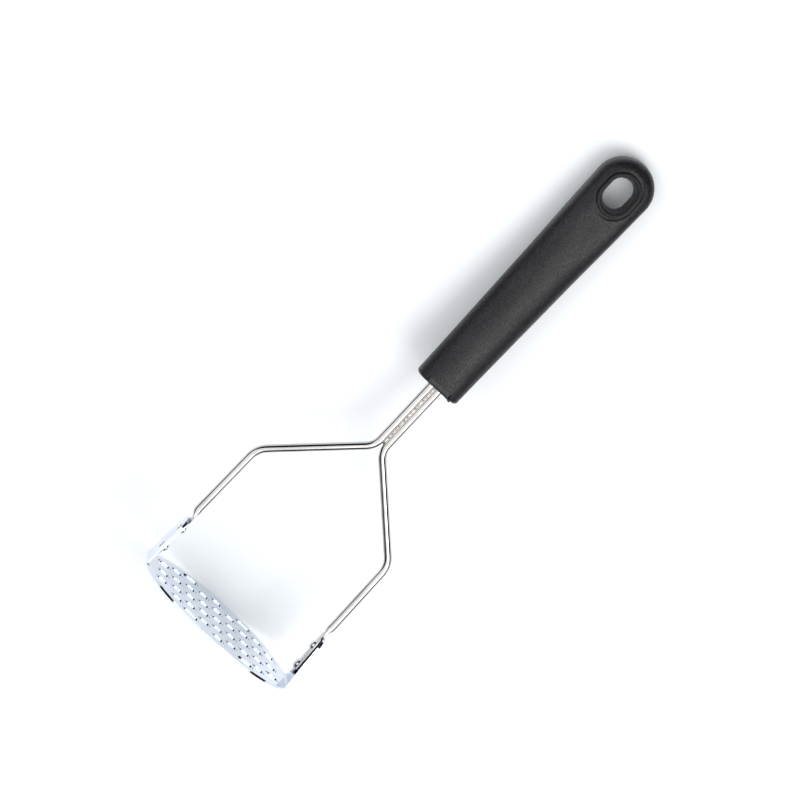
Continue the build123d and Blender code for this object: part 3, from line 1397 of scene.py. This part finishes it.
    def flash_tree(self) -> GeometryTree:
        """Strews torn crumbs of mould flash along a line.

        Returns:
            The tree; its base is the line that the crumbs hang on.
        """
        tree = GeometryTree(
            "mould_flash",
            {"Crumb size": 0.34 * MM, "Spread": 0.32 * MM, "Crumb count": 7, "Seed": 11},
            GRIP_PLASTIC.material(),
        )
        sockets = {"Curve": tree.curve(), "Count": tree.given("Crumb count")}
        seats = tree.node("GeometryNodeCurveToPoints", {"mode": "COUNT"}, sockets)
        spread = tree.given("Spread")
        jitter = tree.drawn((-1.0, -1.0, -1.0), (1.0, 1.0, 1.0), "FLOAT_VECTOR")
        offset = tree.vector_maths("MULTIPLY", jitter, tree.vector(spread, spread, spread))
        strewn = tree.moved(seats, Offset=offset)
        sockets = {"Radius": tree.given("Crumb size"), "Subdivisions": 3}
        ball = tree.node("GeometryNodeMeshIcoSphere", None, sockets)
        crumbs = tree.realized(tree.instances(strewn, ball, Scale=tree.drawn(0.55, 1.2)))
        tree.finish(tree.crumpled(crumbs, 3000.0, 2.0, 0.35 * MM))
        return tree

    def flash(self) -> bpy.types.Mesh:
        """Crumbs of mould flash left at one corner of the mouth."""
        ends = [(x * MM, (self.mouth - 0.15) * MM, 4.6 * MM) for x in (5.2, 7.7)]
        crumbs = self.flash_tree().make("mould_flash_body", outline_mesh("flash_line", ends))
        return clean(crumbs, 1e-8)

    def build(self) -> list[Piece]:
        """Make the grip, the core's collar, the eyelet and the crumbs at the mouth."""
        liner = self.eyelet()
        return [
            Piece("moulded_grip", self.grip(), GRIP_PLASTIC, "grip_plastic", ("handle_grip",)),
            Piece("core_collar", self.core(), CORE_PLASTIC, "core_plastic", ("handle_core",)),
            Piece("hanging_eyelet_ring", liner, EYELET_PLASTIC, "eyelet_plastic", ("hanging_eyelet",)),
            Piece("mould_flash_crumbs", self.flash(), GRIP_PLASTIC, "grip_plastic"),
        ]


# ------------------------------------------------------------------ studio


@dataclass(frozen=True)
class Lamp:
    """A rectangular soft light.

    Args:
        name: its name.
        size: width and height in metres.
        place: where it hangs in the row frame.
        aim: what it points at.
        power: its power in watts.
        tint: its colour.
    """

    name: str
    size: tuple[float, float]
    place: tuple[float, float, float]
    aim: tuple[float, float, float]
    power: float
    tint: tuple[float, float, float] = (0.97, 0.985, 1.0)

    def hang(self) -> None:
        """Put the light in the scene."""
        data = bpy.data.lights.new(self.name, "AREA")
        data.shape = "RECTANGLE"
        data.size, data.size_y = self.size
        data.energy = self.power
        data.color = self.tint
        place = Vector(self.place)
        turn = (place - Vector(self.aim)).to_track_quat("Z", "Y")
        placed(self.name, data).matrix_world = Matrix.Translation(place) @ turn.to_matrix().to_4x4()


LAMPS = (
    Lamp("key", (0.55, 0.55), (0.50, 0.10, 1.13), (0.0, 0.0, 0.0), 4.6, (1.0, 0.99, 0.98)),
    Lamp("ceiling", (5.4, 1.5), (0.0, 0.0, 1.4), (0.0, 0.0, 0.0), 36.0),
    Lamp("front", (1.6, 0.9), (0.0, -1.3, 0.45), (0.0, 0.0, 0.04), 1.6),
)


@dataclass
class Studio:
    """Pale table, soft light and the camera.

    The camera's place is given in the tool's own axes: azimuth across the tool, elevation towards the
    handle's tip, both from straight above, and roll about its own axis, in degrees.
    """

    aim: tuple[float, float, float] = (-12.1, 124.2, 9.7)
    distance: float = 2000.0
    azimuth: float = -9.75
    elevation: float = 6.64
    roll: float = 43.14
    view_angle: float = 9.441
    clipping: tuple[float, float] = (0.05, 20.0)
    floor_half: float = 1.6
    sky: tuple[float, float, float, float] = (0.94, 0.97, 1.0, 1.0)
    fill: float = 0.36
    mirrored_room: float = 0.02

    def camera(self) -> None:
        """Set up the camera."""
        data = bpy.data.cameras.new("camera")
        data.sensor_fit = "HORIZONTAL"
        data.angle = radians(self.view_angle)
        data.clip_start, data.clip_end = self.clipping
        azimuth, elevation, roll = radians(self.azimuth), radians(self.elevation), radians(self.roll)
        back = Vector((cos(elevation) * sin(azimuth), sin(elevation), cos(elevation) * cos(azimuth)))
        level = Vector((0, 1, 0)) - back * back.y
        level.normalize()
        right = level.cross(back)
        top = level * cos(roll) - right * sin(roll)
        place = (Vector(self.aim) + back * self.distance) * MM
        pose = Matrix((top.cross(back), top, back)).transposed().to_4x4()
        seen = placed("camera", data)
        seen.matrix_world = TOOL.matrix @ Matrix.Translation(place) @ pose
        bpy.context.scene.camera = seen

    def table(self) -> None:
        """Lay the table that the tool rests on."""
        half = self.floor_half
        corners = [(-half, -half, 0), (half, -half, 0), (half, half, 0), (-half, half, 0)]
        mesh = bpy.data.meshes.new("table_top")
        mesh.from_pydata(corners, [], [(0, 1, 2, 3)])
        mesh.materials.append(Floor().material())
        floor = placed("table_top", mesh)

    def room(self) -> None:
        """Light the room evenly, but leave it dark where polished steel mirrors it."""
        world = bpy.data.worlds.new("studio")
        world.use_nodes = True
        world.node_tree.nodes.clear()
        bench = NodeBench(world.node_tree)
        mirrored = bench.node("ShaderNodeLightPath", None, None, "Is Glossy Ray")
        strength = mirrored.ramp(0.0, 1.0, self.fill, self.mirrored_room)
        light = bench.node("ShaderNodeBackground", None, {"Color": self.sky, "Strength": strength})
        bench.node("ShaderNodeOutputWorld", None, {"Surface": light})
        bpy.context.scene.world = world

    def build(self) -> None:
        """Lay the table, light the room, hang the lamps and place the camera."""
        self.table()
        self.room()
        for lamp in LAMPS:
            lamp.hang()
        bpy.context.scene.view_settings.view_transform = "Standard"
        self.camera()


def main() -> None:
    """Build the masher piece by piece, then the studio."""
    logging.basicConfig(level=logging.INFO, format="%(name)s: %(message)s")
    LOG.info("tool leans %.2f degrees", degrees(TOOL.lean))
    plate = MashingPlate()
    for assembly in (plate, WireFrame(plate), Handle()):
        for piece in assembly.build():
            piece.install()
    Studio().build()


if __name__ == "__main__":
    main()
